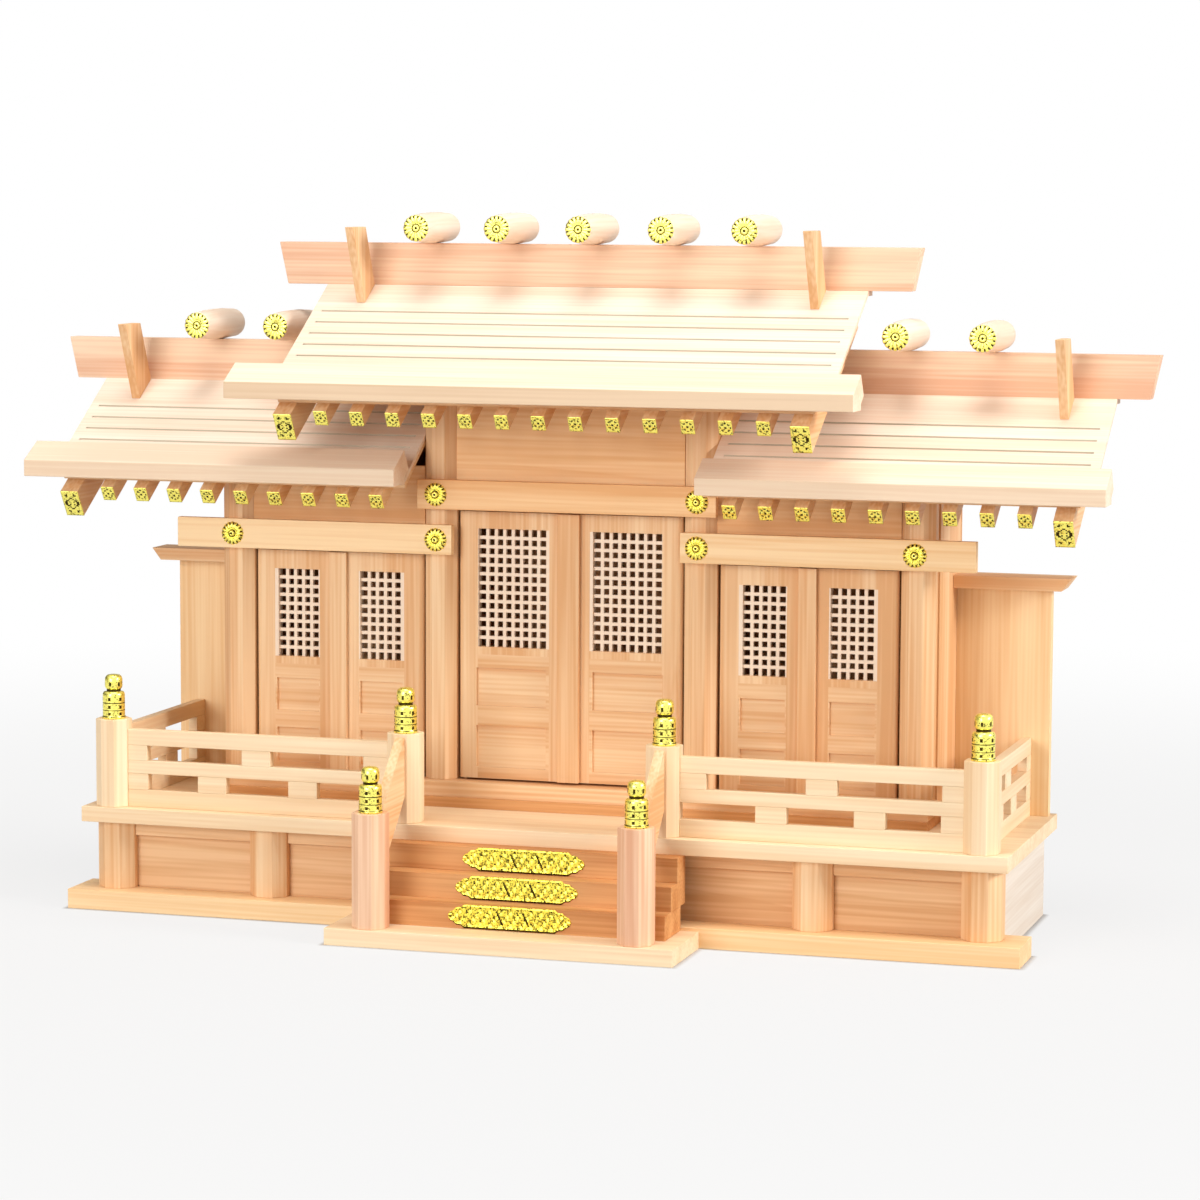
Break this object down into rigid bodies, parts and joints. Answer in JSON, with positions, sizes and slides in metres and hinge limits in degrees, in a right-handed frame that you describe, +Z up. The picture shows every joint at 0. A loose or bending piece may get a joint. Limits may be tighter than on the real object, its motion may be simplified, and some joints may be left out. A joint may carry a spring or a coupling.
{
  "type": "kamidana",
  "caption": "Household shrine with stepped gable roofs over three rooms, double lattice doors, a railed veranda and a short stair.",
  "frame": {"origin": "on the ground, in the middle of the whole width and depth", "axes": "+X to the viewer's right when facing the doors, -Y out of the doors, +Z up"},
  "size_m": [0.6, 0.2044, 0.3652],
  "materials": {
    "wood": "planed, unfinished",
    "roof_wood": "planed, unfinished",
    "gold": "stamped and polished"
  },
  "bodies": {
    "shrine": {"front_sill": "wood", "rear_sill": "wood", "base_posts": "wood", "base_front": "wood", "base_sides": "wood", "base_back": "wood", "veranda_floor": "wood", "stair_plate": "wood", "step_lower": "wood", "step_middle": "wood", "step_upper": "wood", "stair_ornaments": "gold", "newel_posts": "wood", "handrails": "wood", "rail_posts": "wood", "post_caps": "gold", "front_rails": "wood", "side_rails": "wood", "rail_blocks": "wood", "wings": "wood", "wing_caps": "wood", "cabinet_deck": "wood", "threshold": "wood", "main_posts": "wood", "outer_posts": "wood", "side_walls": "wood", "inner_walls": "wood", "back_wall": "wood", "ceilings": "wood", "upper_walls": "wood", "center_beam": "wood", "side_beams": "wood", "rosettes": "gold", "center_rafters": "wood", "side_rafters": "wood", "center_roof_deck": "wood", "side_roof_decks": "wood", "center_roof_boards": "roof_wood", "side_roof_boards": "roof_wood", "center_eave": "roof_wood", "side_eaves": "roof_wood", "center_ridge": "wood", "side_ridges": "wood", "ridge_logs": "wood", "chigi": "wood", "gold_caps": "gold"},
    "leaf_center_left": {"door_center_left": "wood", "strip_center": "wood"},
    "leaf_center_right": {"door_center_right": "wood"},
    "leaf_left_left": {"door_left_left": "wood", "strip_left": "wood"},
    "leaf_left_right": {"door_left_right": "wood"},
    "leaf_right_left": {"door_right_left": "wood", "strip_right": "wood"},
    "leaf_right_right": {"door_right_right": "wood"}
  },
  "joints": [
    {"name": "hinge_center_left", "type": "hinge", "parent": "shrine", "child": "leaf_center_left", "pos_m": [-0.0578, 0.0225, 0.14], "axis": [0, 0, -1], "range_deg": [0, 85]},
    {"name": "hinge_center_right", "type": "hinge", "parent": "shrine", "child": "leaf_center_right", "pos_m": [0.0578, 0.0228, 0.14], "axis": [0, 0, 1], "range_deg": [0, 85]},
    {"name": "hinge_left_left", "type": "hinge", "parent": "shrine", "child": "leaf_left_left", "pos_m": [-0.172, 0.0225, 0.127], "axis": [0, 0, -1], "range_deg": [0, 90]},
    {"name": "hinge_left_right", "type": "hinge", "parent": "shrine", "child": "leaf_left_right", "pos_m": [-0.0838, 0.0228, 0.127], "axis": [0, 0, 1], "range_deg": [0, 90]},
    {"name": "hinge_right_left", "type": "hinge", "parent": "shrine", "child": "leaf_right_left", "pos_m": [0.0838, 0.0225, 0.127], "axis": [0, 0, -1], "range_deg": [0, 90]},
    {"name": "hinge_right_right", "type": "hinge", "parent": "shrine", "child": "leaf_right_right", "pos_m": [0.172, 0.0228, 0.127], "axis": [0, 0, 1], "range_deg": [0, 90]}
  ],
  "couplings": [
    {"joint": "hinge_center_right", "follows": "hinge_center_left", "ratio": 1},
    {"joint": "hinge_left_right", "follows": "hinge_left_left", "ratio": 1},
    {"joint": "hinge_right_right", "follows": "hinge_right_left", "ratio": 1}
  ]
}
